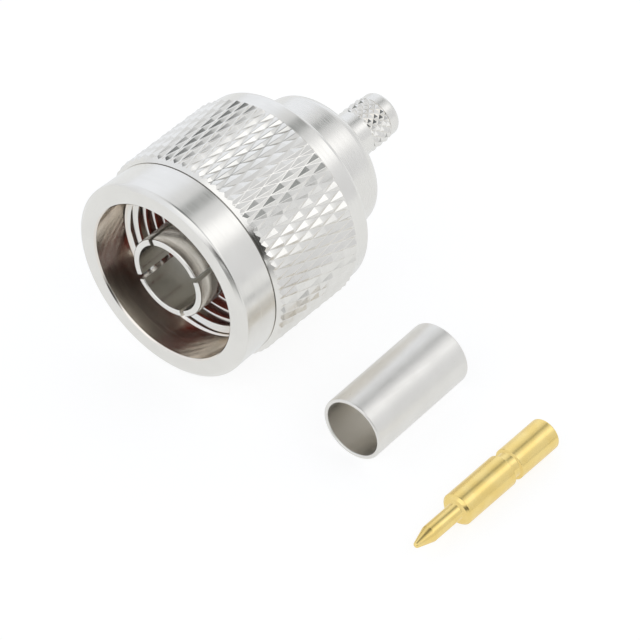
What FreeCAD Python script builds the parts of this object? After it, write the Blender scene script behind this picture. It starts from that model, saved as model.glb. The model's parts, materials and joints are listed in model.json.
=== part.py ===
import FreeCAD, Part
import Sketcher
import operator
import os
from math import cos, floor, pi, sin
from types import SimpleNamespace
from FreeCAD import Placement, Rotation, Vector

# A crimp plug for a coaxial cable, in millimetres.
# The plug's axis is Y. Its open end looks toward -Y and its cable stem toward +Y.
# The origin is on the axis at the front edge of the outer contact.
# Stations are counted along the axis from the coupling nut's front face.

SIZES = {
    # Inside of the coupling nut
    "mouth_depth": 3.95,
    "mouth_step": 0.65,
    "mouth_break": 0.12,
    "lead_in_length": 0.47,
    "thread_length": 6.2,
    "relief_length": 1.3,
    "relief_step": 0.65,
    "shoulder_step": 0.44,
    "rear_land": 1.98,
    "rear_bore_break": 0.15,
    # Outside of the coupling nut
    "collar_wall": 2.04,
    "collar_taper": 0.1,
    "collar_length": 4.17,
    "front_bevel_length": 0.28,
    "front_bevel_width": 0.45,
    "rear_band": 2.05,
    "rear_round": 0.5,
    # Diamond knurl round the nut
    "knurl_rise": 0.41,
    "knurl_root_rise": 0.11,
    "knurl_seat_depth": 0.5,
    "knurl_first_row": 0.73,
    "knurl_row_pitch": 1.62,
    "knurl_count": 64,
    "knurl_stagger": 0.4,
    "knurl_clocking": 0.99,
    # Outer contact
    "contact_recess": 0.72,
    "sleeve_dia": 8.1,
    "sleeve_wall": 0.65,
    "sleeve_tip_round": 0.12,
    "finger_length": 6.4,
    "root_step": 0.2,
    "slot_count": 4,
    "slot_width": 0.5,
    "slot_run_out": 0.4,
    "slot_clocking": 28.5,
    "sleeve_collar_step": 0.75,
    "sleeve_collar_length": 2.0,
    # Gasket
    "gasket_thickness": 1.5,
    "gasket_width": 2.3,
    "gasket_setback": 0.2,
    "gasket_play": 0.15,
    "gasket_round": 0.3,
    # Body
    "nut_fit": 0.06,
    "body_lead": 0.5,
    "body_length": 11.0,
    "body_round": 1.15,
    "body_break": 0.2,
    "rear_wall": 2.4,
    "chamber_step": 0.4,
    # Crimp stem
    "stem_wall": 0.59,
    "stem_length": 8.1,
    "stem_tip_length": 1.3,
    "stem_tip_step": 0.1,
    "stem_tip_round": 0.4,
    "stem_knurl_length": 2.6,
    "stem_knurl_rise": 0.06,
    "stem_knurl_drop": 0.09,
    "stem_knurl_seat_depth": 0.1,
    "stem_knurl_rows": 6,
    "stem_knurl_count": 20,
    "stem_knurl_stagger": 0.5,
    # Retaining ring
    "ring_setback": 2.4,
    "ring_width": 1.1,
    "ring_depth": 0.65,
    "ring_stand": 0.6,
    "ring_gap_angle": 18.0,
    "ring_side_play": 0.1,
    "ring_depth_play": 0.1,
    # Insulator
    "insulator_fit": 0.02,
    "insulator_nose": 5.0,
    "insulator_funnel": 0.7,
    "lip_setback": 1.2,
    "lip_play": 0.06,
    # Centre contact
    "pin_tip_dia": 0.5,
    "pin_tip_length": 1.9,
    "pin_dia": 1.65,
    "pin_length": 5.53,
    "shank_dia": 3.22,
    "shank_chamfer": 0.27,
    "shank_length": 6.5,
    "shank_clearance": 0.1,
    "catch_depth": 0.35,
    "catch_length": 1.0,
    "barrel_step": 0.01,
    "barrel_length": 5.15,
    "barrel_round": 0.2,
    "cup_dia": 1.0,
    "cup_depth": 4.0,
    "cup_mouth": 0.2,
    # Ferrule
    "braid_space": 0.5,
    "ferrule_wall": 0.4,
    "ferrule_length": 12.7,
    "ferrule_round": 0.15,
    # Where the two loose pieces lie beside the plug
    "ferrule_gap": 6.455,
    "ferrule_back": 1.88,
    "ferrule_turn": 1.58,
    "pin_gap": 7.595,
    "pin_forward": 4.15,
    "pin_turn": 0.23,
}

OPERATIONS = {"+": operator.add, "-": operator.sub, "/": operator.truediv}


class Size:
    """A value together with the sheet expression that gives it."""

    def __init__(self, value, text):
        self.value = float(value)
        self.text = text

    def __add__(self, other):
        return combined(self, "+", other)

    def __sub__(self, other):
        return combined(self, "-", other)

    def __rsub__(self, other):
        return combined(other, "-", self)

    def __truediv__(self, other):
        return combined(self, "/", other)

    def __neg__(self):
        return combined(0, "-", self)


def sized(amount):
    return amount if isinstance(amount, Size) else Size(amount, str(amount))


def combined(left, sign, right):
    left, right = sized(left), sized(right)
    return Size(OPERATIONS[sign](left.value, right.value), f"({left.text} {sign} {right.text})")


doc = FreeCAD.newDocument("coaxial_plug")
sheet = doc.addObject("Spreadsheet::Sheet", "Sizes")
for row, (name, value) in enumerate(SIZES.items(), start=1):
    sheet.set(f"A{row}", name)
    sheet.set(f"B{row}", str(value))
    sheet.setAlias(f"B{row}", name)
doc.recompute()
s = SimpleNamespace(**{name: Size(getattr(sheet, name), f"Sizes.{name}") for name in SIZES})

# Stations along the plug
LEAD_END = s.mouth_depth + s.lead_in_length
THREAD_END = LEAD_END + s.thread_length
RELIEF_END = THREAD_END + s.relief_length
SEAT = RELIEF_END - s.body_lead
GASKET_FACE = SEAT - s.gasket_thickness
RING_START = SEAT + s.ring_setback
RING_END = RING_START + s.ring_width
NUT_END = RING_END + s.rear_land
KNURL_END = NUT_END - s.rear_band
BODY_END = SEAT + s.body_length
CHAMBER_START = SEAT + s.sleeve_collar_length
CHAMBER_END = BODY_END - s.rear_wall
STEM_END = BODY_END + s.stem_length
STEM_TIP = STEM_END - s.stem_tip_length
STEM_KNURL = STEM_TIP - s.stem_knurl_length
FINGER_END = s.contact_recess + s.finger_length

# Radii, from the outer contact outwards to the nut's knurl
SLEEVE_R = s.sleeve_dia / 2
SLEEVE_BORE_R = SLEEVE_R - s.sleeve_wall
ROOT_R = SLEEVE_R + s.root_step
SLEEVE_COLLAR_R = ROOT_R + s.sleeve_collar_step
GASKET_BORE_R = ROOT_R + s.gasket_play
GASKET_R = GASKET_BORE_R + s.gasket_width
BODY_R = GASKET_R + s.gasket_setback
NUT_BORE_R = BODY_R + s.nut_fit
THREAD_R = NUT_BORE_R + s.shoulder_step
MOUTH_R = THREAD_R + s.mouth_step
COLLAR_R = MOUTH_R + s.collar_wall
COLLAR_END_R = COLLAR_R - s.collar_taper
CREST_R = COLLAR_R + s.knurl_rise

# Radii inside the body and along the stem
CHAMBER_R = SLEEVE_BORE_R + s.chamber_step
RING_BORE_R = BODY_R - s.ring_depth
RING_R = BODY_R + s.ring_stand
SHANK_R = s.shank_dia / 2
CATCH_R = SHANK_R - s.catch_depth
STEM_BORE_R = SHANK_R + s.shank_clearance
NECK_R = STEM_BORE_R + s.stem_wall
FERRULE_BORE_R = NECK_R + s.braid_space
FERRULE_R = FERRULE_BORE_R + s.ferrule_wall


def plane(body, role):
    """One of a body's own origin planes or axes."""
    return next(f for f in body.Origin.OriginFeatures if f.Role == role)


def new_body(label):
    body = doc.addObject("PartDesign::Body", label)
    body.Label = label
    return body


def lathe_sketch(body, name, corners):
    """A closed outline in the XY plane: each corner is a radius and a station, bound to the sheet."""
    sketch = body.newObject("Sketcher::SketchObject", name)
    sketch.AttachmentSupport = [(plane(body, "XY_Plane"), "")]
    sketch.MapMode = "FlatFace"
    corners = [(sized(radius), sized(station)) for radius, station in corners]
    spots = [Vector(radius.value, station.value, 0) for radius, station in corners]
    for i, spot in enumerate(spots):
        sketch.addGeometry(Part.LineSegment(spot, spots[(i + 1) % len(spots)]), False)
    for i in range(len(spots)):
        sketch.addConstraint(Sketcher.Constraint("Coincident", i, 2, (i + 1) % len(spots), 1))
    for i, (radius, station) in enumerate(corners):
        for kind, axis, amount in (("DistanceX", -2, radius), ("DistanceY", -1, station)):
            if amount.text == "0":
                sketch.addConstraint(Sketcher.Constraint("PointOnObject", i, 1, axis))
                continue
            at = sketch.addConstraint(Sketcher.Constraint(kind, -1, 1, i, 1, amount.value))
            sketch.setExpression(f"Constraints[{at}]", amount.text)
    return sketch


def turned(body, name, corners, cut=False, angle=360):
    """The outline turned about the body's Y axis, as new material or as a groove."""
    sketch = lathe_sketch(body, name + "_outline", corners)
    kind = "PartDesign::Groove" if cut else "PartDesign::Revolution"
    feature = body.newObject(kind, name)
    feature.Profile = sketch
    feature.ReferenceAxis = (sketch, ["V_Axis"])
    feature.setExpression("Angle", sized(angle).text)
    doc.recompute()
    body.Tip = feature
    return feature


def rounded(body, name, feature, radius, places):
    """Rounds the feature's circular edges that lie at the given radii and stations."""
    edges = []
    for edge_radius, station in places:
        for number, edge in enumerate(feature.Shape.Edges, start=1):
            if not isinstance(edge.Curve, Part.Circle):
                continue
            off_radius = abs(edge.Curve.Radius - sized(edge_radius).value)
            off_station = abs(edge.Curve.Center.y - sized(station).value)
            if max(off_radius, off_station) < 1e-4:
                edges.append(f"Edge{number}")
    fillet = body.newObject("PartDesign::Fillet", name)
    fillet.Base = (feature, edges)
    fillet.setExpression("Radius", radius.text)
    doc.recompute()
    body.Tip = fillet
    return fillet


def on_axis(body):
    """Sets a piece of the plug where its stations say."""
    body.setExpression("Placement.Base.y", (-s.contact_recess).text)


# Diamond knurl


def clipped(corners, station, above):
    """The part of a polygon that lies on one side of a station."""
    kept = []
    for i, here in enumerate(corners):
        there = corners[(i + 1) % len(corners)]
        if here.y == station or (here.y > station) == above:
            kept.append(here)
        if (here.y - station) * (there.y - station) < 0:
            kept.append(here + (there - here) * ((station - here.y) / (there.y - here.y)))
    return kept


def pyramid_faces(root, crest, first, pitch, rows, count, stagger, clocking):
    """The four sides of each pyramid of a knurl, row by row across the axis.

    The corners between pyramids lie on the root radius and the points on the crest radius.
    Each row is turned against the last by a share of the step round the ring.
    """
    step = 2 * pi / count

    def spot(radius, row, number):
        angle = (number + stagger * row + clocking) * step
        return Vector(radius * cos(angle), first + row * pitch, radius * sin(angle))

    for row in rows:
        for number in range(count):
            point = spot(crest, row, number + 0.5)
            low = spot(root, row, number)
            high = spot(root, row, number + 1)
            before = spot(root, row - 1, number + 1)
            after = spot(root, row + 1, number)
            for one, other in ((before, low), (low, after), (after, high), (high, before)):
                yield [one, other, point]


def diamond_ring(root, crest, inside, start, end, first, pitch, count, stagger, clocking=0):
    """A ring whose outside is a knurl of four-sided pyramids, cut square at both ends."""
    rows = range(floor((start - first) / pitch) - 1, floor((end - first) / pitch) + 3)
    faces = []
    rims = {start: [], end: []}
    for side in pyramid_faces(root, crest, first, pitch, rows, count, stagger, clocking):
        side = clipped(clipped(side, start, True), end, False)
        side = [spot for i, spot in enumerate(side) if spot.distanceToPoint(side[i - 1]) > 1e-7]
        if len(side) < 3:
            continue
        for i in range(1, len(side) - 1):
            triangle = [side[0], side[i], side[i + 1]]
            faces.append(Part.Face(Part.makePolygon(triangle + triangle[:1])))
        for station, rim in rims.items():
            on_rim = [spot for spot in side if abs(spot.y - station) < 1e-7]
            if len(on_rim) == 2:
                rim.append(Part.LineSegment(*on_rim).toShape())
    for station, rim in rims.items():
        hole = Part.Wire(Part.makeCircle(inside, Vector(0, station, 0), Vector(0, 1, 0)))
        faces.append(Part.Face([Part.Wire(Part.__sortEdges__(rim)), hole]))
    bore = Part.makeCylinder(inside, end - start, Vector(0, start, 0), Vector(0, 1, 0))
    faces.append(next(face for face in bore.Faces if isinstance(face.Surface, Part.Cylinder)))
    shell = Part.Shell(faces)
    shell.sewShape()
    ring = Part.Solid(shell)
    ring.fix(1e-6, 1e-6, 1e-6)
    if ring.Volume < 0:
        ring.reverse()
    return ring


def bevelled_rod(low, high, start, end):
    """A rod whose ends rise at 45 degrees from the low radius to the high one."""
    rise = high - low
    nose = Part.makeCone(low, high, rise, Vector(0, start, 0), Vector(0, 1, 0))
    middle = Part.makeCylinder(high, end - start - 2 * rise, Vector(0, start + rise, 0), Vector(0, 1, 0))
    tail = Part.makeCone(high, low, rise, Vector(0, end - rise, 0), Vector(0, 1, 0))
    return nose.fuse([middle, tail]).removeSplitter()


def knurl_feature(name, shape):
    feature = doc.addObject("Part::Feature", name)
    feature.Shape = shape
    feature.Placement = Placement(Vector(0, -s.contact_recess.value, 0), Rotation())
    return feature


def joined(label, pieces):
    fuse = doc.addObject("Part::MultiFuse", label)
    fuse.Shapes = pieces
    fuse.Refine = False
    fuse.Label = label
    return fuse


# Coupling nut: collar, diamond knurl, bore for the mating thread, rear bore that runs on the body


def nut_turning():
    body = new_body("nut_turning")
    seat_r = COLLAR_R + s.knurl_root_rise - s.knurl_seat_depth
    relief_r = THREAD_R + s.relief_step
    below_bore = NUT_BORE_R - s.nut_fit
    turned(body, "nut_blank", [
        (MOUTH_R + s.mouth_break, 0),
        (COLLAR_R - s.front_bevel_width, 0),
        (COLLAR_R, s.front_bevel_length),
        (COLLAR_END_R, s.collar_length),
        (seat_r, s.collar_length),
        (seat_r, KNURL_END),
        (COLLAR_R, KNURL_END),
        (COLLAR_R, NUT_END),
        (NUT_BORE_R + s.rear_bore_break, NUT_END),
        (NUT_BORE_R, NUT_END - s.rear_bore_break),
        (NUT_BORE_R, RELIEF_END),
        (THREAD_R, RELIEF_END),
        (THREAD_R, LEAD_END),
        (MOUTH_R, s.mouth_depth),
        (MOUTH_R, s.mouth_break),
    ])
    turned(body, "thread_relief", [
        (below_bore, THREAD_END),
        (relief_r, THREAD_END),
        (relief_r, RELIEF_END),
        (below_bore, RELIEF_END),
    ], cut=True)
    groove = turned(body, "ring_groove", [
        (below_bore, RING_START - s.ring_side_play),
        (RING_R + s.ring_depth_play, RING_START - s.ring_side_play),
        (RING_R + s.ring_depth_play, RING_END + s.ring_side_play),
        (below_bore, RING_END + s.ring_side_play),
    ], cut=True)
    rounded(body, "rear_edge", groove, s.rear_round, [(COLLAR_R, NUT_END)])
    on_axis(body)
    return body


def nut_knurl():
    root_r = COLLAR_R + s.knurl_root_rise
    start, end = s.collar_length.value, KNURL_END.value
    ring = diamond_ring(
        root_r.value,
        CREST_R.value,
        (root_r - s.knurl_seat_depth).value,
        start,
        end,
        start + s.knurl_first_row.value,
        s.knurl_row_pitch.value,
        round(s.knurl_count.value),
        s.knurl_stagger.value,
        s.knurl_clocking.value,
    )
    clear_r = CREST_R + s.knurl_rise
    rod = bevelled_rod(COLLAR_END_R.value, clear_r.value, start, end)
    return knurl_feature("nut_knurl", ring.common(rod))


# Connector body, turned in one with its crimp stem


def body_turning():
    body = new_body("body_turning")
    ring_seat_r = RING_BORE_R - s.ring_depth_play
    knurl_seat_r = NECK_R - s.stem_knurl_drop - s.stem_knurl_seat_depth
    tip_r = NECK_R - s.stem_tip_step
    turned(body, "body_blank", [
        (SLEEVE_COLLAR_R, SEAT),
        (BODY_R - s.body_break, SEAT),
        (BODY_R, SEAT + s.body_break),
        (BODY_R, BODY_END),
        (NECK_R, BODY_END),
        (NECK_R, STEM_KNURL),
        (knurl_seat_r, STEM_KNURL),
        (knurl_seat_r, STEM_TIP),
        (tip_r, STEM_TIP),
        (tip_r, STEM_END),
        (STEM_BORE_R, STEM_END),
        (STEM_BORE_R, CHAMBER_END),
        (CHAMBER_R, CHAMBER_END),
        (CHAMBER_R, CHAMBER_START),
        (SLEEVE_COLLAR_R, CHAMBER_START),
    ])
    groove = turned(body, "ring_seat", [
        (ring_seat_r, RING_START),
        (NUT_BORE_R, RING_START),
        (NUT_BORE_R, RING_END + s.ring_side_play),
        (ring_seat_r, RING_END + s.ring_side_play),
    ], cut=True)
    shoulder = rounded(body, "body_shoulder", groove, s.body_round, [(BODY_R, BODY_END)])
    rounded(body, "stem_tip", shoulder, s.stem_tip_round, [(tip_r, STEM_END)])
    on_axis(body)
    return body


def stem_knurl():
    root_r = NECK_R - s.stem_knurl_drop
    start, end = STEM_KNURL.value, STEM_TIP.value
    pitch = (end - start) / round(s.stem_knurl_rows.value)
    return knurl_feature("stem_knurl", diamond_ring(
        root_r.value,
        (NECK_R + s.stem_knurl_rise).value,
        (root_r - s.stem_knurl_seat_depth).value,
        start,
        end,
        start + pitch / 2,
        pitch,
        round(s.stem_knurl_count.value),
        s.stem_knurl_stagger.value,
    ))


# Outer contact: a sleeve whose slots let its fingers spring


def slot_sketch(body):
    """A slot's outline, from the axis out past the sleeve's wall."""
    sketch = body.newObject("Sketcher::SketchObject", "slot_outline")
    sketch.AttachmentSupport = [(plane(body, "XZ_Plane"), "")]
    sketch.MapMode = "FlatFace"
    sketch.setExpression("AttachmentOffset.Rotation.Angle", s.slot_clocking.text)
    reach = ROOT_R + s.slot_width
    half = s.slot_width.value / 2
    spots = [Vector(x, y, 0) for x, y in ((0, -half), (reach.value, -half), (reach.value, half), (0, half))]
    for i, spot in enumerate(spots):
        sketch.addGeometry(Part.LineSegment(spot, spots[(i + 1) % 4]), False)
    for i in range(4):
        sketch.addConstraint(Sketcher.Constraint("Coincident", i, 2, (i + 1) % 4, 1))
        sketch.addConstraint(Sketcher.Constraint("Vertical" if i % 2 else "Horizontal", i))
    sketch.addConstraint(Sketcher.Constraint("Symmetric", 0, 1, 2, 2, -1, 1))
    width = sketch.addConstraint(Sketcher.Constraint("DistanceY", 1, 1, 1, 2, 2 * half))
    sketch.setExpression(f"Constraints[{width}]", s.slot_width.text)
    length = sketch.addConstraint(Sketcher.Constraint("DistanceX", 0, 1, 0, 2, reach.value))
    sketch.setExpression(f"Constraints[{length}]", reach.text)
    doc.recompute()
    return sketch


def outer_contact():
    body = new_body("outer_contact")
    sleeve = turned(body, "sleeve", [
        (SLEEVE_BORE_R, s.contact_recess),
        (SLEEVE_R, s.contact_recess),
        (SLEEVE_R, FINGER_END),
        (ROOT_R, FINGER_END),
        (ROOT_R, SEAT),
        (SLEEVE_COLLAR_R, SEAT),
        (SLEEVE_COLLAR_R, CHAMBER_START),
        (SLEEVE_BORE_R, CHAMBER_START),
    ])
    tip = rounded(body, "sleeve_tip", sleeve, s.sleeve_tip_round, [
        (SLEEVE_BORE_R, s.contact_recess),
        (SLEEVE_R, s.contact_recess),
    ])
    slot = body.newObject("PartDesign::Pocket", "slot")
    slot.Profile = slot_sketch(body)
    slot.setExpression("Length", (FINGER_END + s.slot_run_out).text)
    doc.recompute()
    if slot.Shape.Volume > tip.Shape.Volume - 1e-3:
        slot.Reversed = True
        doc.recompute()
    slots = body.newObject("PartDesign::PolarPattern", "slots")
    slots.Originals = [slot]
    slots.Axis = (plane(body, "Y_Axis"), [""])
    slots.Angle = 360
    slots.setExpression("Occurrences", s.slot_count.text)
    body.Tip = slots
    on_axis(body)
    return body


def insulator():
    body = new_body("insulator")
    nose_r = SLEEVE_BORE_R - s.insulator_fit
    seat_r = CHAMBER_R - s.insulator_fit
    hole_r = SHANK_R + s.shank_clearance
    lip_r = CATCH_R + s.lip_play
    nose = CHAMBER_START - s.insulator_nose
    lip = CHAMBER_START + s.lip_setback
    lip_end = lip + s.catch_length - s.shank_chamfer
    turned(body, "bush", [
        (hole_r, nose),
        (nose_r, nose),
        (nose_r, CHAMBER_START),
        (seat_r, CHAMBER_START),
        (seat_r, CHAMBER_END),
        (hole_r + s.insulator_funnel, CHAMBER_END),
        (hole_r, CHAMBER_END - s.insulator_funnel),
        (hole_r, lip_end),
        (lip_r, lip_end),
        (lip_r, lip),
        (hole_r, lip),
    ])
    on_axis(body)
    return body


def gasket():
    body = new_body("gasket")
    ring = turned(body, "gasket_ring", [
        (GASKET_BORE_R, GASKET_FACE),
        (GASKET_R, GASKET_FACE),
        (GASKET_R, SEAT),
        (GASKET_BORE_R, SEAT),
    ])
    edges = [(GASKET_BORE_R, GASKET_FACE), (GASKET_R, GASKET_FACE)]
    rounded(body, "gasket_edges", ring, s.gasket_round, edges)
    on_axis(body)
    return body


def retaining_ring():
    body = new_body("retaining_ring")
    turned(body, "split_ring", [
        (RING_BORE_R, RING_START),
        (RING_R, RING_START),
        (RING_R, RING_END),
        (RING_BORE_R, RING_END),
    ], angle=360 - s.ring_gap_angle)
    on_axis(body)
    return body


# The two loose pieces, each drawn from its near end and laid on the surface under the nut


def laid_down(body, right, back, radius, turn):
    body.Placement = Placement(Vector(), Rotation(Vector(0, 0, 1), turn.value))
    body.setExpression("Placement.Rotation.Angle", turn.text)
    body.setExpression("Placement.Base.x", right.text)
    body.setExpression("Placement.Base.y", back.text)
    body.setExpression("Placement.Base.z", (radius - CREST_R).text)


def ferrule_x():
    return CREST_R + s.ferrule_gap + FERRULE_R


def crimp_ferrule():
    body = new_body("crimp_ferrule")
    ends = (sized(0), s.ferrule_length)
    tube = turned(body, "tube", [
        (FERRULE_BORE_R, ends[0]),
        (FERRULE_R, ends[0]),
        (FERRULE_R, ends[1]),
        (FERRULE_BORE_R, ends[1]),
    ])
    rims = [(radius, end) for radius in (FERRULE_BORE_R, FERRULE_R) for end in ends]
    rounded(body, "tube_ends", tube, s.ferrule_round, rims)
    laid_down(body, ferrule_x(), s.ferrule_back, FERRULE_R, s.ferrule_turn)
    return body


def centre_contact():
    body = new_body("centre_contact")
    barrel_r = SHANK_R - s.barrel_step
    cup_r = s.cup_dia / 2
    shank_end = s.pin_length + s.shank_length
    catch_end = shank_end + s.catch_length
    end = catch_end + s.barrel_length
    pin = turned(body, "pin", [
        (0, 0),
        (s.pin_tip_dia / 2, 0),
        (s.pin_dia / 2, s.pin_tip_length),
        (s.pin_dia / 2, s.pin_length),
        (SHANK_R - s.shank_chamfer, s.pin_length),
        (SHANK_R, s.pin_length + s.shank_chamfer),
        (SHANK_R, shank_end),
        (CATCH_R, shank_end),
        (CATCH_R, catch_end),
        (barrel_r, catch_end),
        (barrel_r, end),
        (cup_r + s.cup_mouth, end),
        (cup_r, end - s.cup_mouth),
        (cup_r, end - s.cup_depth),
        (0, end - s.cup_depth),
    ])
    rounded(body, "barrel_end", pin, s.barrel_round, [(barrel_r, end)])
    laid_down(body, ferrule_x() + FERRULE_R + s.pin_gap + SHANK_R, -s.pin_forward, SHANK_R, s.pin_turn)
    return body


pieces = [
    joined("coupling_nut", [nut_turning(), nut_knurl()]),
    joined("connector_body", [body_turning(), stem_knurl()]),
    outer_contact(),
    insulator(),
    gasket(),
    retaining_ring(),
    crimp_ferrule(),
    centre_contact(),
]
doc.recompute()

for item in doc.Objects:
    if "Invalid" in item.State or "Error" in item.State:
        raise RuntimeError(f"{item.Label} could not be built: {item.State}")
for piece in pieces:
    if piece.Shape.isNull() or not piece.Shape.isValid() or len(piece.Shape.Solids) != 1:
        raise RuntimeError(f"{piece.Label} is not one sound solid")

os.makedirs("parts", exist_ok=True)
for piece in pieces:
    piece.Shape.exportStep(f"parts/{piece.Label}.step")
    box = piece.Shape.optimalBoundingBox()
    corners = (box.XMin, box.YMin, box.ZMin, box.XMax, box.YMax, box.ZMax)
    print(piece.Label, round(piece.Shape.Volume, 3), [round(corner, 3) for corner in corners])
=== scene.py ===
import json
from math import asin, cos, floor, pi, radians, sin, sqrt, tan

import bmesh
import bpy
from mathutils import Matrix, Vector


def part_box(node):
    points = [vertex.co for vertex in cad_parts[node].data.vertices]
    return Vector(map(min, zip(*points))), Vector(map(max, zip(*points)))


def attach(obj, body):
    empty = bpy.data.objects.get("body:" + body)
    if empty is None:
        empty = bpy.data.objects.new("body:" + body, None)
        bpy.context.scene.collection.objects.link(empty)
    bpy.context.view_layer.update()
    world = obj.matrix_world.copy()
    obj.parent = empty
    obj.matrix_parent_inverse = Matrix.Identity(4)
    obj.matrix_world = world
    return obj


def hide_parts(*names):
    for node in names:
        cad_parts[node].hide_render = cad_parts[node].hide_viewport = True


# A crimp plug for a coaxial cable, with its ferrule and its centre contact lying beside it.
# The plug's axis is Y. Lengths here are in millimetres until a mesh is made.

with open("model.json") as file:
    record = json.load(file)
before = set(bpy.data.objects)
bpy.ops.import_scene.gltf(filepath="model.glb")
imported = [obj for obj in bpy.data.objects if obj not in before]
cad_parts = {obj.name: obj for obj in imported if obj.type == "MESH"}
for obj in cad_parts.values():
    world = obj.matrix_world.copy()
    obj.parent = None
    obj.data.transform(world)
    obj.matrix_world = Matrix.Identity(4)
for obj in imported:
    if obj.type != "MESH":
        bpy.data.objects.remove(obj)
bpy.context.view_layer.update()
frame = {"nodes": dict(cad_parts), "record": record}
MM = 0.001


def span(node):
    """A node's lowest and highest corners in millimetres."""
    low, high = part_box(node)
    return Vector(low) / MM, Vector(high) / MM


mounts = {mount["name"]: mount for mount in frame["record"]["mounts"]}


def mount_radius(name):
    return mounts[name]["dims"]["r_mm"]


nut_low, nut_high = span("coupling_nut")
body_low, body_high = span("connector_body")
sleeve_low, sleeve_high = span("outer_contact")
gasket_low, gasket_high = span("gasket")
bush_low, bush_high = span("insulator")
ring_low, ring_high = span("retaining_ring")
ferrule_low, ferrule_high = span("crimp_ferrule")
contact_low, contact_high = span("centre_contact")

FLOOR = nut_low.z
NUT_FRONT, NUT_REAR, CREST_R = nut_low.y, nut_high.y, nut_high.x
SEAT, STEM_END, BODY_R = body_low.y, body_high.y, body_high.x
SLEEVE_R = mount_radius("outer_contact")
NECK_R = mount_radius("stem")
STEM_BORE_R = mount_radius("stem_bore")

# Small roundings, from a keen edge to a soft one
KEEN, CRISP, EASED, BROKEN, SOFT = 0.02, 0.03, 0.04, 0.05, 0.06

# Coupling nut
KNURL_RISE = 0.41
COLLAR_R = CREST_R - KNURL_RISE
COLLAR_TAPER = 0.1
COLLAR_END_R = COLLAR_R - COLLAR_TAPER
NUT_WALL = 2.04
MOUTH_R = COLLAR_R - NUT_WALL
MOUTH_BREAK = 0.16
MOUTH_ROUND = 0.08
MOUTH_END = NUT_FRONT + 3.95
FACE_ROUND = 0.1
BEVEL_WIDTH = 0.45
BEVEL_LENGTH = 0.28
BEVEL_ROUND = 0.3
RELIEF_WIDTH = 0.14
RELIEF_DEPTH = 0.15
REAR_BAND = 2.05
REAR_ROUND = 0.5
REAR_BREAK = 0.15
THREAD_START = NUT_FRONT + 4.42
THREAD_END = NUT_FRONT + 10.62
RUNOUT_END = NUT_FRONT + 11.92
NUT_PLAY = 0.06
NUT_BORE_R = BODY_R + NUT_PLAY
RING_PLAY = 0.1

# The mating thread: 24 turns to the inch, with a crest at the given station on the side toward +X
THREAD_PITCH = 25.4 / 24
THREAD_RISE = 0.65
THREAD_DEPTH = 0.54
THREAD_R = MOUTH_R - THREAD_RISE
THREAD_CREST = NUT_FRONT + 6.7
CREST_FLAT = 0.2
ROOT_FLAT = 0.2
FLANK_CUTS = 4

# Radius that marks the thread's points in the nut's outline, until thread_shape gives them their own
THREAD_MARK = THREAD_R + 0.01

# Diamond knurl of the nut: each row is staggered by a share of a step, and each point stands off centre
KNURL_START = NUT_FRONT + 4.17
KNURL_END = NUT_REAR - REAR_BAND
KNURL_ROOT_R = COLLAR_R + 0.16
KNURL_REAR_R = KNURL_ROOT_R - 0.03
KNURL_SEAT_R = COLLAR_R - 0.39
KNURL_FIRST_ROW = NUT_FRONT + 4.9
KNURL_ROW_PITCH = 1.62
KNURL_COUNT = 64
KNURL_STAGGER = 0.4
KNURL_CLOCKING = 0.99
KNURL_POINT = 0.4
KNURL_EDGE = 0.028
KNURL_SHARP_ANGLE = 10

# Body and stem
BODY_LENGTH = 11.0
BODY_END = SEAT + BODY_LENGTH
BODY_ROUND = 1.15
SEAT_CHAMFER = 0.2
CHAMBER_START = SEAT + 2.0
REAR_WALL = 2.4
RING_GROOVE_REACH = 1.35
NECK_FILLET = 0.15
STEM_TIP = STEM_END - 1.3
STEM_TIP_R = NECK_R - 0.1
STEM_TIP_ROUND = 0.4
STEM_KNURL = STEM_TIP - 2.6
STEM_ROOT_R = NECK_R - 0.13
STEM_CREST_R = NECK_R + 0.07
STEM_BEVEL_R = STEM_ROOT_R - 0.005
STEM_SEAT_R = NECK_R - 0.22
STEM_ROWS = 6
STEM_ROW_PITCH = (STEM_TIP - STEM_KNURL) / STEM_ROWS
STEM_COUNT = 20
STEM_STAGGER = 0.5
STEM_EDGE = 0.012

# Outer contact
SLEEVE_BORE_R = SLEEVE_R - 0.65
SLEEVE_BORE_ROUND = 0.14
SLEEVE_TIP_ROUND = 0.18
ROOT_R = SLEEVE_R + 0.2
FINGER_END = sleeve_low.y + 6.4
ROOT_STEP = 0.1
SLOT_END = FINGER_END + 0.4
SLOT_WIDTH = 0.5
SLOT_COUNT = 4
SLOT_CLOCKING = radians(28.5)
SLEEVE_STEP = radians(3.5)
SAWN_ANGLE = radians(50)

# Gasket and insulator, whose lip holds the centre contact
GASKET_GAP = 0.15
GASKET_ROUND = 0.3
BUSH_GAP = 0.02
BUSH_ROUND = 0.1
BUSH_FUNNEL = 0.7
LIP_R = 1.36
LIP_START = CHAMBER_START + 1.2
LIP_END = CHAMBER_START + 2.0

# Crimp ferrule
FERRULE_R = (ferrule_high.z - ferrule_low.z) / 2
FERRULE_BREAK = 0.15
FERRULE_ROUND = 0.17

# Centre contact, with lengths behind its tip
SHANK_R = (contact_high.z - contact_low.z) / 2
TIP_R = 0.25
TIP_ROUND = 0.2
TIP_LENGTH = 1.9
CONE_ROUND = 0.5
PIN_LENGTH = 5.53
SHANK_CHAMFER = 0.27
SHANK_ROUND = 0.1
SHANK_END = PIN_LENGTH + 6.5
CATCH_R = SHANK_R - 0.35
CATCH_END = SHANK_END + 1.0
BARREL_R = SHANK_R - 0.01
BARREL_END = CATCH_END + 5.15
BARREL_ROUND = 0.2
CUP_DEPTH = 4.0
CUP_MOUTH = 0.2

# Flat facets that a turned surface is made of, and the angle from which an edge is crisp
FACETS = 192
FERRULE_FACETS = 144
SMALL_FACETS = 96
SHARP_ANGLE = 35

# Tolerances: points nearer than the first are one point, and sizes nearer than the second are the same
WELD = 1e-5
CLOSE = 1e-4

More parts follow.
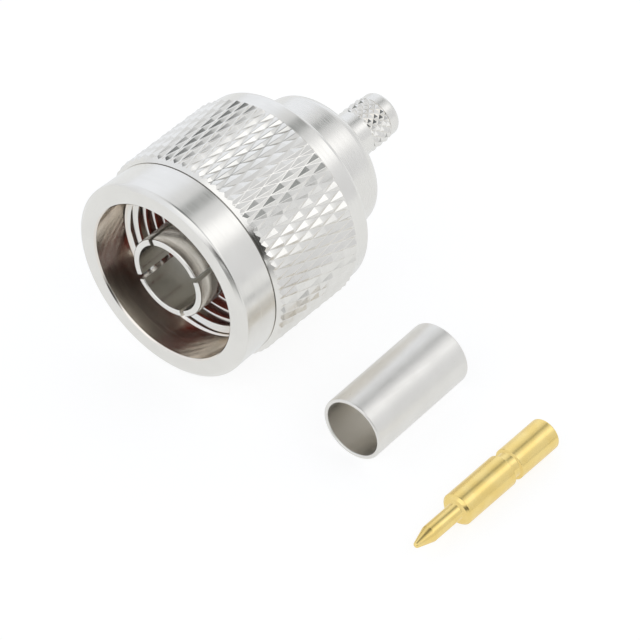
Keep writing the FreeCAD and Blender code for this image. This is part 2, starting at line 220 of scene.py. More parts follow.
# The camera: its turn to the right of the open end, its rise in degrees, and what it looks at
VIEW_TURN = radians(40.776)
VIEW_RISE = radians(43.795)
VIEW_DISTANCE = 425.03
VIEW_LENS = 260.63
VIEW_CENTRE = Vector((6.706, 13.172, FLOOR + 0.033))


# Outlines


def rounded(corners, closed=True, steps=6):
    """Draws an outline from corners (station, radius, rounding), each rounding as an arc."""
    path = []
    for i, (station, radius, rounding) in enumerate(corners):
        here = Vector((station, radius))
        at_end = not closed and i in (0, len(corners) - 1)
        if rounding == 0 or at_end:
            path.append(here)
            continue
        back = (Vector(corners[i - 1][:2]) - here).normalized()
        on = (Vector(corners[(i + 1) % len(corners)][:2]) - here).normalized()
        half = back.angle(on) / 2
        centre = here + (back + on).normalized() * rounding / sin(half)
        first = here + back * rounding / tan(half) - centre
        last = here + on * rounding / tan(half) - centre
        sweep = pi - 2 * half
        for step in range(steps + 1):
            share = step / steps
            ray = (first * sin((1 - share) * sweep) + last * sin(share * sweep)) / sin(sweep)
            path.append(centre + ray)
    return path


def evenly(start, end, step):
    """Places from start to end, about a step apart, without the two ends."""
    count = max(2, round(abs(end - start) / step))
    return [start + (end - start) * i / count for i in range(1, count)]


# Meshes


def spot(station, radius, angle):
    """A point of a turned piece; its axis is Y and angle 0 lies toward +X."""
    return Vector((radius * cos(angle), station, radius * sin(angle)))


def make_piece(name, mesh, place=None, sharp_angle=SHARP_ANGLE):
    """Turns a bmesh in millimetres into a shown object in metres.

    Edges over the sharp angle stay crisp, and all others are shaded smooth.
    """
    bmesh.ops.remove_doubles(mesh, verts=mesh.verts, dist=WELD)
    bmesh.ops.recalc_face_normals(mesh, faces=mesh.faces)
    if place:
        mesh.transform(place)
    mesh.transform(Matrix.Scale(MM, 4))
    data = bpy.data.meshes.new(name)
    mesh.to_mesh(data)
    mesh.free()
    data.shade_smooth()
    data.set_sharp_from_angle(angle=radians(sharp_angle))
    piece = bpy.data.objects.new(name, data)
    bpy.context.collection.objects.link(piece)
    shading = piece.modifiers.new("even_shading", "WEIGHTED_NORMAL")
    shading.keep_sharp = True
    return piece


def turn(path, closed=True, facets=FACETS, shape=None):
    """Turns an outline about the axis. A shape function may move each point with its angle.

    The first and last columns lie in one place, and make_piece welds them.
    """
    mesh = bmesh.new()
    angles = [-pi / 2 + 2 * pi * i / facets for i in range(facets + 1)]
    rows = []
    for station, radius in path:
        if radius < WELD:
            rows.append([mesh.verts.new(spot(station, 0, 0))] * len(angles))
            continue
        row = []
        for angle in angles:
            at = shape(station, radius, angle) if shape else (station, radius)
            row.append(mesh.verts.new(spot(*at, angle)))
        rows.append(row)
    for i in range(len(rows) if closed else len(rows) - 1):
        here, there = rows[i], rows[(i + 1) % len(rows)]
        for j in range(facets):
            corners = [here[j], here[j + 1], there[j + 1], there[j]]
            unique = [vert for n, vert in enumerate(corners) if vert not in corners[:n]]
            mesh.faces.new(unique)
    return mesh


# Knurls


def off_axis(vert):
    return sqrt(vert.co.x**2 + vert.co.z**2)


def trim_knurl(mesh, station, low, seat, outward):
    """Bevels one end of a knurled tube at 45 degrees down to its low radius, and closes it to its seat.

    The tube is sheared along its axis by each point's height, cut square and sheared back, so that the
    cut becomes a cone.
    """
    for vert in mesh.verts:
        vert.co.y += outward * (off_axis(vert) - low)
    bmesh.ops.bisect_plane(
        mesh,
        geom=mesh.verts[:] + mesh.edges[:] + mesh.faces[:],
        plane_co=(0, station, 0),
        plane_no=(0, outward, 0),
        clear_outer=True,
    )
    for vert in mesh.verts:
        vert.co.y -= outward * (off_axis(vert) - low)
    bevel_reach = KNURL_RISE * 1.5
    rim = [
        edge for edge in mesh.edges
        if edge.is_boundary and (edge.verts[0].co.y - station) * outward > -bevel_reach
    ]
    for radius in (low, seat):
        made = bmesh.ops.extrude_edge_only(mesh, edges=rim)["geom"]
        for vert in (item for item in made if isinstance(item, bmesh.types.BMVert)):
            scale = radius / off_axis(vert)
            vert.co = Vector((vert.co.x * scale, station, vert.co.z * scale))
        rim = [item for item in made if isinstance(item, bmesh.types.BMEdge) and item.is_boundary]
    return rim


def diamond_knurl(start, end, first, pitch, count, stagger, clocking, root, crest, lows, seat, edge):
    """A ring of four-sided pyramids between two crossing families of grooves, with eased edges.

    The corners between pyramids lie on the root radius and the points on the crest radius.
    The bevels at the front and rear ends come down to the two low radii.
    Each row across the axis is turned against the last by a share of the step round the ring.
    """
    mesh = bmesh.new()
    step = 2 * pi / count
    rows = range(floor((start - first) / pitch) - 2, floor((end - first) / pitch) + 4)
    corners, points = {}, {}
    for row in rows:
        for number in range(count):
            angle = (number + stagger * row + clocking) * step
            corners[row, number] = mesh.verts.new(spot(first + row * pitch, root, angle))
            point = spot(first + row * pitch, crest, angle + step * KNURL_POINT)
            points[row, number] = mesh.verts.new(point)
    for row in rows[1:-1]:
        for number in range(count):
            after = (number + 1) % count
            low_corner, high_corner = corners[row, number], corners[row, after]
            left, right = corners[row - 1, after], corners[row + 1, number]
            loop = [left, low_corner, right, high_corner]
            for i, corner in enumerate(loop):
                mesh.faces.new((corner, loop[(i + 1) % 4], points[row, number]))
    loose = [vert for vert in mesh.verts if not vert.link_faces]
    bmesh.ops.delete(mesh, geom=loose, context="VERTS")
    bmesh.ops.bevel(
        mesh, geom=[line for line in mesh.edges if not line.is_boundary],
        offset=edge, offset_type="OFFSET", segments=1, affect="EDGES", clamp_overlap=True,
    )
    front = trim_knurl(mesh, start, lows[0], seat, -1)
    rear = trim_knurl(mesh, end, lows[1], seat, 1)
    bmesh.ops.bridge_loops(mesh, edges=front + rear)
    return mesh


# Coupling nut


def thread_outline():
    """The thread's outline along one line, with a spare turn at the ends, as (station, mark, rounding)."""
    crest, root = CREST_FLAT / 2, 0.5 - ROOT_FLAT / 2
    flank = [crest + (root - crest) * i / FLANK_CUTS for i in range(FLANK_CUTS + 1)]
    shares = [0, *flank, 0.5, *(1 - share for share in reversed(flank))]
    first = floor((MOUTH_END - THREAD_CREST) / THREAD_PITCH) - 1
    last = floor((THREAD_END - THREAD_CREST) / THREAD_PITCH) + 2
    turns = [number + share for number in range(first, last) for share in shares]
    return [(THREAD_CREST + number * THREAD_PITCH, THREAD_MARK, 0) for number in reversed(turns)]


def thread_shape(station, radius, angle):
    """Winds the thread's outline about the axis, and cuts it off by the lead-in cone at its mouth."""
    if abs(radius - THREAD_MARK) > CLOSE:
        return station, radius
    station = min(THREAD_END, max(MOUTH_END, station - THREAD_PITCH * angle / (2 * pi)))
    turn_share = ((station - THREAD_CREST) / THREAD_PITCH + angle / (2 * pi)) % 1
    from_crest = min(turn_share, 1 - turn_share)
    flank = (from_crest - CREST_FLAT / 2) / (0.5 - CREST_FLAT / 2 - ROOT_FLAT / 2)
    thread = THREAD_R + THREAD_DEPTH * min(1, max(0, flank))
    lead_in = MOUTH_R - THREAD_RISE * (station - MOUTH_END) / (THREAD_START - MOUTH_END)
    return station, max(thread, lead_in)


def coupling_nut():
    """The nut's turning, with the thread in its bore; its knurl is a ring that sits on it."""
    relief_r = COLLAR_END_R - RELIEF_DEPTH
    before_ring, behind_ring = ring_low.y - RING_PLAY, ring_high.y + RING_PLAY
    groove_r = ring_high.x + RING_PLAY
    path = rounded([
        (NUT_FRONT, MOUTH_R + MOUTH_BREAK, MOUTH_ROUND),
        (NUT_FRONT, COLLAR_R - BEVEL_WIDTH, FACE_ROUND),
        (NUT_FRONT + BEVEL_LENGTH, COLLAR_R, BEVEL_ROUND),
        (KNURL_START - RELIEF_WIDTH, COLLAR_END_R, KEEN),
        (KNURL_START - RELIEF_WIDTH / 2, relief_r, 0),
        (KNURL_START, relief_r, 0),
        (KNURL_START, KNURL_SEAT_R, 0),
        (KNURL_END, KNURL_SEAT_R, 0),
        (KNURL_END, COLLAR_R, EASED),
        (NUT_REAR, COLLAR_R, REAR_ROUND),
        (NUT_REAR, NUT_BORE_R + REAR_BREAK, EASED),
        (NUT_REAR - REAR_BREAK, NUT_BORE_R, EASED),
        (behind_ring, NUT_BORE_R, 0),
        (behind_ring, groove_r, 0),
        (before_ring, groove_r, 0),
        (before_ring, NUT_BORE_R, 0),
        (RUNOUT_END, NUT_BORE_R, BROKEN),
        (RUNOUT_END, MOUTH_R, BROKEN),
        (THREAD_END, MOUTH_R, 0),
        *thread_outline(),
        (MOUTH_END, MOUTH_R, 0),
        (NUT_FRONT + MOUTH_BREAK, MOUTH_R, MOUTH_ROUND),
    ])
    return make_piece("coupling_nut_turning", turn(path, shape=thread_shape))


def nut_knurl():
    """The ring of diamonds round the nut."""
    mesh = diamond_knurl(
        start=KNURL_START, end=KNURL_END, first=KNURL_FIRST_ROW, pitch=KNURL_ROW_PITCH,
        count=KNURL_COUNT, stagger=KNURL_STAGGER, clocking=KNURL_CLOCKING,
        root=KNURL_ROOT_R, crest=CREST_R, lows=(COLLAR_END_R, KNURL_REAR_R), seat=KNURL_SEAT_R,
        edge=KNURL_EDGE,
    )
    return make_piece("coupling_nut_knurl", mesh, sharp_angle=KNURL_SHARP_ANGLE)


# Body with its crimp stem


def connector_body():
    """The body's turning; the stem's knurl is a ring that sits on it."""
    chamber_r = bush_high.x + BUSH_GAP
    groove_r = ring_high.x - RING_GROOVE_REACH
    groove_end = ring_high.y + RING_PLAY
    path = rounded([
        (SEAT, sleeve_high.x, CRISP),
        (SEAT, BODY_R - SEAT_CHAMFER, 0),
        (SEAT + SEAT_CHAMFER, BODY_R, 0),
        (ring_low.y, BODY_R, 0),
        (ring_low.y, groove_r, 0),
        (groove_end, groove_r, 0),
        (groove_end, BODY_R, 0),
        (BODY_END, BODY_R, BODY_ROUND),
        (BODY_END, NECK_R, NECK_FILLET),
        (STEM_KNURL, NECK_R, 0),
        (STEM_KNURL, STEM_SEAT_R, 0),
        (STEM_TIP, STEM_SEAT_R, 0),
        (STEM_TIP, STEM_TIP_R, 0),
        (STEM_END, STEM_TIP_R, STEM_TIP_ROUND),
        (STEM_END, STEM_BORE_R, EASED),
        (BODY_END - REAR_WALL, STEM_BORE_R, 0),
        (BODY_END - REAR_WALL, chamber_r, 0),
        (CHAMBER_START, chamber_r, 0),
        (CHAMBER_START, sleeve_high.x, 0),
    ], steps=10)
    return make_piece("connector_body_turning", turn(path))


def stem_knurl():
    """The finer diamonds that grip the braid."""
    mesh = diamond_knurl(
        start=STEM_KNURL, end=STEM_TIP, first=STEM_KNURL + STEM_ROW_PITCH / 2, pitch=STEM_ROW_PITCH,
        count=STEM_COUNT, stagger=STEM_STAGGER, clocking=0,
        root=STEM_ROOT_R, crest=STEM_CREST_R, lows=(STEM_BEVEL_R, STEM_BEVEL_R), seat=STEM_SEAT_R,
        edge=STEM_EDGE,
    )
    return make_piece("stem_knurl", mesh, sharp_angle=KNURL_SHARP_ANGLE)


# Outer contact with its slots


def sleeve_angles():
    """Angles round the sleeve as (angle, slot side): sides -1 and 1 are a slot's two walls, 0 is between."""
    angles = []
    slot_step = 2 * pi / SLOT_COUNT
    half = asin(SLOT_WIDTH / 2 / SLEEVE_R)
    for number in range(SLOT_COUNT):
        slot = SLOT_CLOCKING + number * slot_step
        angles += [(slot, -1), (slot, 1)]
        angles += [(angle, 0) for angle in evenly(slot + half, slot + slot_step - half, SLEEVE_STEP)]
    return angles


def outer_contact():
    """The sleeve, swept finger by finger, with its slots' walls and floors as faces of their own."""
    front, rear = sleeve_low.y, sleeve_high.y
    collar_r = sleeve_high.x
    path = rounded([
        (SLOT_END, SLEEVE_BORE_R, 0),
        (front, SLEEVE_BORE_R, SLEEVE_BORE_ROUND),
        (front, SLEEVE_R, SLEEVE_TIP_ROUND),
        (FINGER_END, SLEEVE_R, 0),
        (FINGER_END + ROOT_STEP, ROOT_R, 0),
        (SLOT_END, ROOT_R, 0),
        (SEAT, ROOT_R, 0),
        (SEAT, collar_r, 0),
        (rear, collar_r, 0),
        (rear, SLEEVE_BORE_R, 0),
    ])
    slotted = next(
        i for i, (station, radius) in enumerate(path)
        if radius > ROOT_R - CLOSE and station > SLOT_END - CLOSE
    )
    mesh = bmesh.new()
    columns = []
    for angle, side in sleeve_angles():
        column = []
        for station, radius in path:
            at = angle + side * asin(SLOT_WIDTH / 2 / radius)
            column.append(mesh.verts.new(spot(station, radius, at)))
        columns.append((column, side))
    for i, (column, side) in enumerate(columns):
        beside = columns[(i + 1) % len(columns)][0]
        for j in range(len(path)):
            k = (j + 1) % len(path)
            if side == -1 and j < slotted:
                continue
            mesh.faces.new((column[j], column[k], beside[k], beside[j]))
        if side:
            mesh.faces.new(column[: slotted + 1])
        if side == -1:
            mesh.faces.new((column[0], column[slotted], beside[slotted], beside[0]))
    bmesh.ops.recalc_face_normals(mesh, faces=mesh.faces)
    sawn = [
        edge for edge in mesh.edges
        if edge.calc_face_angle(0) > SAWN_ANGLE and all(vert.co.y < SLOT_END - CLOSE for vert in edge.verts)
    ]
    bmesh.ops.bevel(mesh, geom=sawn, offset=CRISP, segments=2, affect="EDGES", clamp_overlap=True)
    return make_piece("outer_contact_sleeve", mesh)


# Gasket and insulator


def gasket():
    """The sealing ring that lies on the body's front face."""
    inner = ROOT_R + GASKET_GAP
    path = rounded([
        (gasket_low.y, inner, GASKET_ROUND),
        (gasket_low.y, gasket_high.x, GASKET_ROUND),
        (gasket_high.y, gasket_high.x, BROKEN),
        (gasket_high.y, inner, BROKEN),
    ])
    return make_piece("gasket_ring", turn(path))


def insulator():
    """The bush, with its nose in the sleeve and its wide end in the body's chamber."""
    hole_r = STEM_BORE_R
    nose_r = SLEEVE_BORE_R - BUSH_GAP
    path = rounded([
        (bush_low.y, hole_r, BUSH_ROUND),
        (bush_low.y, nose_r, BUSH_ROUND),
        (CHAMBER_START, nose_r, 0),
        (CHAMBER_START, bush_high.x, BROKEN),
        (bush_high.y, bush_high.x, BROKEN),
        (bush_high.y, hole_r + BUSH_FUNNEL, BROKEN),
        (bush_high.y - BUSH_FUNNEL, hole_r, 0),
        (LIP_END, hole_r, 0),
        (LIP_END, LIP_R, BROKEN),
        (LIP_START, LIP_R, BROKEN),
        (LIP_START, hole_r, 0),
    ])
    return make_piece("insulator_bush", turn(path, facets=SMALL_FACETS))


# The two loose pieces, drawn from their near end


def laid(mount, near_end, radius):
    """Where a loose piece lies: its near end is ahead of the mount's point by the given length."""
    forward = Vector(mounts[mount]["axis"])
    start = Vector(mounts[mount]["pos_m"]) / MM + forward * near_end
    start.z = FLOOR + radius
    return Matrix.Translation(start) @ (-forward).to_track_quat("Y", "Z").to_matrix().to_4x4()


def crimp_ferrule():
    """The plain tube that is crimped over the braid."""
    inner = mount_radius("ferrule_bore")
    length = mounts["ferrule_bore"]["dims"]["length_mm"] + 2 * FERRULE_BREAK
    path = rounded([
        (0, inner, FERRULE_BREAK),
        (0, FERRULE_R, FERRULE_ROUND),
        (length, FERRULE_R, FERRULE_ROUND),
        (length, inner, FERRULE_BREAK),
    ])
    place = laid("ferrule_bore", FERRULE_BREAK, FERRULE_R)
    return make_piece("crimp_ferrule_tube", turn(path, facets=FERRULE_FACETS), place), place


def centre_contact():
    """The pin with its cone, its shank, the catch that the insulator's lip holds, and the wire cup."""
    pin, cup = mount_radius("contact_pin"), mount_radius("wire_cup")
    path = rounded([
        (0, 0, 0),
        (0, TIP_R, TIP_ROUND),
        (TIP_LENGTH, pin, CONE_ROUND),
        (PIN_LENGTH, pin, SOFT),
        (PIN_LENGTH, SHANK_R - SHANK_CHAMFER, SOFT),
        (PIN_LENGTH + SHANK_CHAMFER, SHANK_R, SHANK_ROUND),
        (SHANK_END, SHANK_R, SOFT),
        (SHANK_END, CATCH_R, CRISP),
        (CATCH_END, CATCH_R, CRISP),
        (CATCH_END, BARREL_R, SOFT),
        (BARREL_END, BARREL_R, BARREL_ROUND),
        (BARREL_END, cup + CUP_MOUTH, CRISP),
        (BARREL_END - CUP_MOUTH, cup, 0),
        (BARREL_END - CUP_DEPTH, cup, 0),
        (BARREL_END - CUP_DEPTH, 0, 0),
    ], closed=False)
    place = laid("contact_pin", TIP_LENGTH, SHANK_R)
    mesh = turn(path, closed=False, facets=SMALL_FACETS)
    return make_piece("centre_contact_pin", mesh, place), place


# Shader nodes


class Link:
    """A node's output, so that sums and products of outputs are written as plain maths."""

    def __init__(self, tree, output):
        self.tree = tree
        self.output = output

    def maths(self, operation, first, second=0):
        return self.tree.add("ShaderNodeMath", {"operation": operation}, {0: first, 1: second})

    def __add__(self, other):
        return self.maths("ADD", self, other)

    def __radd__(self, other):
        return self.maths("ADD", other, self)

    def __sub__(self, other):
        return self.maths("SUBTRACT", self, other)

    def __rsub__(self, other):
        return self.maths("SUBTRACT", other, self)

    def __mul__(self, other):
        return self.maths("MULTIPLY", self, other)

    def __rmul__(self, other):
        return self.maths("MULTIPLY", other, self)

    def __truediv__(self, other):
        return self.maths("DIVIDE", self, other)

    def __rtruediv__(self, other):
        return self.maths("DIVIDE", other, self)

    def __abs__(self):
        return self.maths("ABSOLUTE", self)


class Tree:
    """The nodes of a finish or of the studio, each added by one method."""

    def __init__(self, owner):
        owner.use_nodes = True
        self.owner = owner
        self.nodes = owner.node_tree.nodes
        self.links = owner.node_tree.links
        self.nodes.clear()

    def add(self, kind, settings=None, values=None, output=0):
        """Adds a node: its settings first, then the values or links of its sockets."""
        node = self.nodes.new(kind)
        for name, value in (settings or {}).items():
            setattr(node, name, value)
        for name, value in (values or {}).items():
            if isinstance(value, Link):
                self.links.new(value.output, node.inputs[name])
            else:
                node.inputs[name].default_value = value
        return Link(self, node.outputs[output]) if node.outputs else node

    def vector(self, operation, first, second=(0, 0, 0), output="Vector"):
        return self.add("ShaderNodeVectorMath", {"operation": operation}, {0: first, 1: second}, output)

    def dot(self, first, second):
        return self.vector("DOT_PRODUCT", first, second, output="Value")

    def length(self, vector):
        return self.vector("LENGTH", vector, output="Value")

    def combine(self, x, y, z):
        return self.add("ShaderNodeCombineXYZ", None, {0: x, 1: y, 2: z})

    def place_in_mm(self):
        """The shaded point in the object's own frame, in millimetres."""
        return self.vector("MULTIPLY", self.add("ShaderNodeTexCoord", output="Object"), (1 / MM,) * 3)

    def mix(self, share, first, second):
        """A colour between two, by the share of the second."""
        settings = {"data_type": "RGBA", "clamp_factor": True}
        colours = [colour if isinstance(colour, Link) else (*colour, 1) for colour in (first, second)]
        return self.add("ShaderNodeMix", settings, {0: share, 6: colours[0], 7: colours[1]}, 2)

    def noise(self, vector, scale, detail=2.0, roughness=0.5, w=None):
        settings = {"noise_dimensions": "3D" if w is None else "4D"}
        values = {"Vector": vector, "Scale": scale, "Detail": detail, "Roughness": roughness}
        if w is not None:
            values["W"] = w
        return self.add("ShaderNodeTexNoise", settings, values)

    def ramp(self, value, low, high, to_low=0.0, to_high=1.0):
        """A smooth step of a value between two limits."""
        settings = {"interpolation_type": "SMOOTHSTEP"}
        return self.add("ShaderNodeMapRange", settings, {
            "Value": value, "From Min": low, "From Max": high, "To Min": to_low, "To Max": to_high,
        })

    def seen_directly(self):
        """1 for rays from the camera, which show the surroundings plain white."""
        return self.add("ShaderNodeLightPath", output="Is Camera Ray")


class Turned(Tree):
    """A finish for a turned piece, which knows how far along and out from its axis each point lies."""

    def __init__(self, name, place=None):
        super().__init__(bpy.data.materials.new(name))
        place = place or Matrix.Identity(4)
        axis = (place.to_3x3() @ Vector((0, 1, 0))).normalized()
        across = (place.to_3x3() @ Vector((1, 0, 0))).normalized()
        self.point = self.vector("SUBTRACT", self.place_in_mm(), place.translation)
        self.along = self.dot(self.point, axis)
        onto_axis = self.vector("MULTIPLY", self.combine(self.along, self.along, self.along), axis)
        out = self.vector("SUBTRACT", self.point, onto_axis)
        self.out = self.length(out)
        facing = self.vector("NORMALIZE", out)
        self.cosine = self.dot(facing, across)
        self.sine = self.dot(facing, axis.cross(across))

    def rings(self, per_mm, round_share, detail=3.0):
        """Marks that run round the axis, as a lathe leaves them: fine along it, long across it."""
        place = self.combine(self.along * per_mm, self.out * per_mm, self.cosine * round_share)
        return self.noise(place, 1.0, detail, 0.6, w=self.sine * round_share)

    def grain(self, per_mm, along_share, detail=3.0):
        """Marks that run along the axis, as drawing leaves them on a tube."""
        place = self.combine(self.cosine * per_mm, self.sine * per_mm, self.along * along_share)
        return self.noise(place, 1.0, detail, 0.6)

    def clouded(self, shades, per_mm, spread, detail=3.0):
        """A colour that drifts between two shades in soft clouds."""
        cloud = self.noise(self.point, per_mm, detail)
        return self.mix(self.ramp(cloud, 0.5 - spread, 0.5 + spread), *shades)

    def finish(self, shader_values, bump, strength, depth):
        """Closes the finish with its shader; the bump's depth is in millimetres."""
        marks = {"Height": bump, "Strength": strength, "Distance": depth * MM}
        normal = self.add("ShaderNodeBump", None, marks)
        shader = self.add("ShaderNodeBsdfPrincipled", None, {**shader_values, "Normal": normal})
        self.add("ShaderNodeOutputMaterial", None, {"Surface": shader})
        return self.owner


def swing(marks, width):
    """What the marks of a noise add to a value: up to half the width more or less."""
    return (marks - 0.5) * width


# Finishes: their colours, most with a light and a dark shade, and then their shaders


NICKEL = (0.87, 0.84, 0.785), (0.84, 0.81, 0.755)
# Painted reflection: the warm tint for the side of the nut's bore and its thread's roots
BORE_PAINTED_REFLECTION = (0.86, 0.795, 0.715)
# Painted shade: the dark colour for the relief before the nut's knurl
RELIEF_PAINTED_SHADE = (0.40, 0.39, 0.37)
GOLD = (1.0, 0.765, 0.30), (0.97, 0.715, 0.25)
SILICONE = (0.44, 0.085, 0.055), (0.34, 0.065, 0.045)
PTFE = (0.86, 0.86, 0.84), (0.80, 0.80, 0.77)
BRONZE = (0.66, 0.42, 0.22), (0.58, 0.36, 0.19)
BORED_ROUGHNESS = 0.16


def nickel(name, place=None, roughness=0.24, ring_depth=0.0012, drawn=False, of_nut=False):
    """Satin nickel plate, with lathe rings or the grain of a drawn tube under it.

    The nut's bore is reamed finer. A warm tint on the side of its bore and in the thread's roots is a
    painted reflection of the red-brown interior, and the relief before the knurl is coloured dark as painted
    shade.
    """
    tree = Turned(name, place)
    fine = tree.grain(26.0, 0.45) if drawn else tree.rings(6.0, 1.0)
    broad = tree.rings(1.1, 0.6, 2.0)
    speck = tree.noise(tree.point, 14.0, 2.0)
    colour = tree.clouded(NICKEL, 0.35, 0.15)
    gloss = roughness + swing(fine, 0.35) + swing(broad, 0.1)
    if of_nut:
        inside = tree.ramp(tree.out, MOUTH_R + 0.1, MOUTH_R + 0.2, 1, 0)
        gloss = gloss - inside * (roughness - BORED_ROUGHNESS)
        # Painted reflection: the warm tint on the side of the bore and in the thread's roots stands in for
        # the red-brown interior mirrored there
        bore_reflection_mask = inside * tree.ramp(tree.out, MOUTH_R - 0.2, MOUTH_R - 0.15)
        colour = tree.mix(bore_reflection_mask, colour, BORE_PAINTED_REFLECTION)
        # Painted shade: the relief before the knurl is coloured dark in place of the shade that falls in it
        from_groove = abs(tree.along - (KNURL_START - RELIEF_WIDTH / 2))
        relief_shade_mask = tree.ramp(from_groove, RELIEF_WIDTH * 0.5, RELIEF_WIDTH * 0.6, 1, 0)
        relief_shade_mask = relief_shade_mask * tree.ramp(tree.out, MOUTH_R + 0.2, MOUTH_R + 0.3)
        colour = tree.mix(relief_shade_mask, colour, RELIEF_PAINTED_SHADE)
    return tree.finish(
        {"Base Color": colour, "Metallic": 1.0, "Roughness": gloss},
        bump=fine * 0.75 + speck * 0.25, strength=0.35, depth=ring_depth,
    )


def gold(name, place):
    """Satin gold plate on turned brass."""
    tree = Turned(name, place)
    fine = tree.rings(11.0, 1.0)
    colour = tree.clouded(GOLD, 0.6, 0.15)
    return tree.finish(
        {"Base Color": colour, "Metallic": 1.0, "Roughness": 0.25 + swing(fine, 0.12)},
        bump=fine, strength=0.35, depth=0.0012,
    )


def silicone(name):
    """Matte red-brown silicone with a faint bloom."""
    tree = Turned(name)
    speck = tree.noise(tree.point, 22.0, 2.0)
    colour = tree.clouded(SILICONE, 1.4, 0.2, 4.0)
    return tree.finish(
        {"Base Color": colour, "Roughness": 0.5 + swing(speck, 0.15), "Specular IOR Level": 0.4},
        bump=speck, strength=0.3, depth=0.006,
    )


def ptfe(name):
    """Waxy white insulator with faint turning rings."""
    tree = Turned(name)
    fine = tree.rings(7.0, 0.8)
    colour = tree.clouded(PTFE, 1.0, 0.2)
    return tree.finish(
        {"Base Color": colour, "Roughness": 0.42 + swing(fine, 0.15)},
        bump=fine, strength=0.25, depth=0.003,
    )


def spring_bronze(name):
    """Plain rolled bronze strip."""
    tree = Turned(name)
    fine = tree.rings(8.0, 1.0)
    colour = tree.mix(fine, *BRONZE)
    return tree.finish(
        {"Base Color": colour, "Metallic": 1.0, "Roughness": 0.35 + swing(fine, 0.2)},
        bump=fine, strength=0.3, depth=0.002,
    )


# Dressing the pieces


def paint(piece, material):
    piece.data.materials.clear()
    piece.data.materials.append(material)


def dress(piece, body, material, node):
    paint(piece, material)
    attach(piece, body)
    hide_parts(node)


turned = nickel("nickel_turned", roughness=0.2, ring_depth=0.0018, of_nut=True)
dress(coupling_nut(), "nut", turned, "coupling_nut")
knurled = nickel("nickel_knurled", roughness=0.15, ring_depth=0.0014)
dress(nut_knurl(), "nut", knurled, "coupling_nut")
plain = nickel("nickel_body", roughness=0.27, ring_depth=0.0018)
dress(connector_body(), "plug", plain, "connector_body")
bright = nickel("nickel_stem_knurl", roughness=0.09, ring_depth=0.0006)
dress(stem_knurl(), "plug", bright, "connector_body")
dress(outer_contact(), "plug", nickel("nickel_contact", roughness=0.2), "outer_contact")
dress(gasket(), "plug", silicone("silicone_red_brown"), "gasket")
dress(insulator(), "plug", ptfe("ptfe_white"), "insulator")
ferrule, ferrule_place = crimp_ferrule()
drawn = nickel("nickel_drawn", ferrule_place, roughness=0.36, ring_depth=0.002, drawn=True)
dress(ferrule, "plug", drawn, "crimp_ferrule")
contact, contact_place = centre_contact()
dress(contact, "plug", gold("gold_plate", contact_place), "centre_contact")
paint(frame["nodes"]["retaining_ring"], spring_bronze("bronze_strip"))

# The nickel beside it shows no gold, so the contact stays out of the other pieces' reflections
contact.visible_glossy = False


# Studio


class Surroundings(Tree):
    """The studio round the part, painted by direction: across is +X, deep is +Y and up is +Z."""

    def __init__(self):
        super().__init__(bpy.data.worlds.new("studio"))
        self.direction = self.add("ShaderNodeTexCoord", output="Generated")
        self.across = self.dot(self.direction, (1, 0, 0))
        self.deep = self.dot(self.direction, (0, 1, 0))
        self.up = self.dot(self.direction, (0, 0, 1))
        self.reach = self.length(self.combine(self.across, 0, self.up))

    def strip(self, angle, half, soft):
        """How much a direction looks into a long box that hangs parallel to the plug."""
        facing = (self.across * cos(radians(angle)) + self.up * sin(radians(angle))) / self.reach
        return self.ramp(facing, cos(radians(half + soft)), cos(radians(half)))

    def patch(self, toward, half, soft):
        """How much a direction looks into a round patch."""
        facing = self.dot(self.direction, Vector(toward).normalized())
        return self.ramp(facing, cos(radians(half + soft)), cos(radians(half)))

    def band(self, square_to, half, soft):
        """How much a direction looks into a band square to a vector."""
        off = abs(self.dot(self.direction, Vector(square_to).normalized()))
        return 1 - self.ramp(off, sin(radians(half)), sin(radians(half + soft)))

    def nearer_than(self, low, high):
        """1 for directions less deep than the low limit, 0 past the high one."""
        return 1 - self.ramp(self.deep, low, high)

    def deeper_than(self, low, high):
        """0 for directions less deep than the low limit, 1 past the high one."""
        return self.ramp(self.deep, low, high)


def studio_world():
    """A white tent, with the boxes, cards and gaps that the bright metal reflects.

    Overhead runs a dark gap, which is wider and darker where it is open, and the tent is dark low in
    front, where the camera stands. The camera itself sees plain white all round.
    """
    tree = Surroundings()
    bpy.context.scene.world = tree.owner
    tent = (0.77, 0.795, 0.835)
    low_right = tree.patch((1, 0.3, 0.05), 12, 22)
    left_box = tree.strip(150, 13, 20)
    left_box_end = left_box * tree.deeper_than(0.44, 0.56)
    right_card = tree.band((-0.629, -0.414, 0.658), 5, 15) * tree.patch((0.58, 0.35, 0.73), 18, 10)
    gap = tree.strip(97, 2, 9) * tree.nearer_than(0.58, 0.70)
    open_gap = tree.strip(93, 6, 19) * tree.nearer_than(0.22, 0.46) * tree.deeper_than(-0.25, 0.05)
    front_card = tree.patch((0.10, -0.83, 0.52), 18, 14)
    camera_side = tree.patch((0.42, -0.90, 0.02), 15, 8)
    camera_right = tree.patch((0.63, -0.74, 0.10), 12, 8)
    light = tent
    for share, colour in (
        (low_right, (0.73, 0.75, 0.79)),
        (left_box, (0.87, 0.91, 0.98)),
        (left_box_end, (0.95, 1.00, 1.09)),
        (right_card, (1.24, 1.27, 1.32)),
        (gap, (0.31, 0.33, 0.34)),
        (open_gap, (0.13, 0.14, 0.15)),
        (front_card, (1.14, 1.17, 1.22)),
        (camera_side, (0.06, 0.06, 0.06)),
        (camera_right, (0.06, 0.06, 0.06)),
    ):
        light = tree.mix(share, light, colour)
    inside = tree.add("ShaderNodeBackground", None, {"Color": light, "Strength": 1.0})
    white = tree.add("ShaderNodeBackground", None, {"Color": (1, 1, 1, 1), "Strength": 1.0})
    shown = tree.add("ShaderNodeMixShader", None, {0: tree.seen_directly(), 1: inside, 2: white})
    tree.add("ShaderNodeOutputWorld", None, {"Surface": shown})


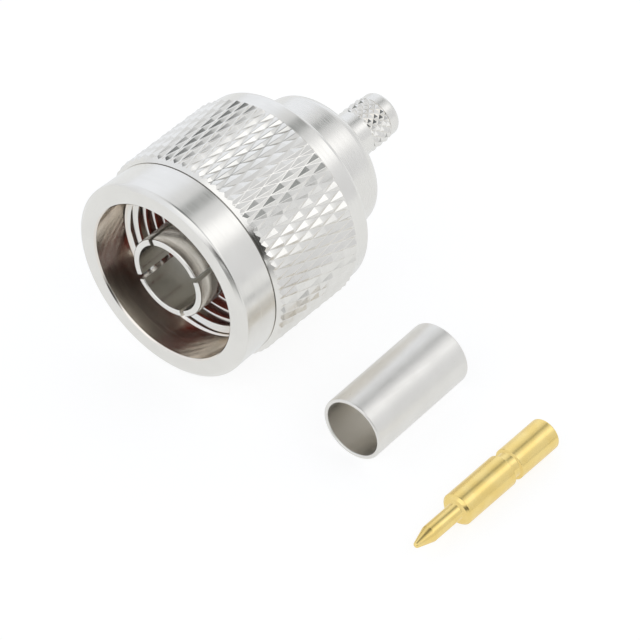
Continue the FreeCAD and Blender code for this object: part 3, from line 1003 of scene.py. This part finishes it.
def laid_card(tree, point, centre, size):
    """How much a point of the surface lies on an oval card with soft edges."""
    off = tree.vector("SUBTRACT", point, (*centre, FLOOR))
    off = tree.length(tree.vector("DIVIDE", off, (*size, 1)))
    return 1 - tree.ramp(off, 0.7, 1.3)


def studio_floor():
    """A plain pale surface that looks white and keeps a faint shadow.

    The metal sees it dimmer, with a dark card far to the pieces' right and a darker one in front.
    """
    mesh = bmesh.new()
    bmesh.ops.create_grid(mesh, x_segments=1, y_segments=1, size=3000)
    mesh.transform(Matrix.Translation((0, 0, FLOOR)))
    surface = make_piece("surface", mesh)
    tree = Tree(bpy.data.materials.new("surface_white"))
    paper = tree.add("ShaderNodeBsdfDiffuse", None, {"Color": (0.25, 0.25, 0.25, 1)})
    glow = tree.add("ShaderNodeEmission", None, {"Color": (1, 1, 1, 1), "Strength": 0.82})
    point = tree.place_in_mm()
    at_right = laid_card(tree, point, centre=(74, 27), size=(32, 11))
    in_front = laid_card(tree, point, centre=(60, -160), size=(70, 110))
    shine = tree.mix(at_right, (0.66, 0.68, 0.70), (0.30, 0.31, 0.32))
    shine = tree.mix(in_front, shine, (0.06, 0.06, 0.06))
    table = tree.add("ShaderNodeEmission", None, {"Color": shine, "Strength": 1.0})
    lift = tree.add("ShaderNodeMixShader", None, {0: tree.seen_directly(), 1: table, 2: glow})
    both = tree.add("ShaderNodeAddShader", None, {0: paper, 1: lift})
    tree.add("ShaderNodeOutputMaterial", None, {"Surface": both})
    paint(surface, tree.owner)


def camera():
    """Looks down on the open end from its right, from far off through a long lens."""
    back = Vector((
        sin(VIEW_TURN) * cos(VIEW_RISE),
        -cos(VIEW_TURN) * cos(VIEW_RISE),
        sin(VIEW_RISE),
    ))
    data = bpy.data.cameras.new("camera")
    data.lens = VIEW_LENS
    view = bpy.data.objects.new("camera", data)
    bpy.context.collection.objects.link(view)
    view.location = (VIEW_CENTRE + back * VIEW_DISTANCE) * MM
    view.rotation_mode = "QUATERNION"
    view.rotation_quaternion = (-back).to_track_quat("-Z", "Y")
    bpy.context.scene.camera = view


studio_world()
studio_floor()
camera()
bpy.context.scene.view_settings.view_transform = "Standard"
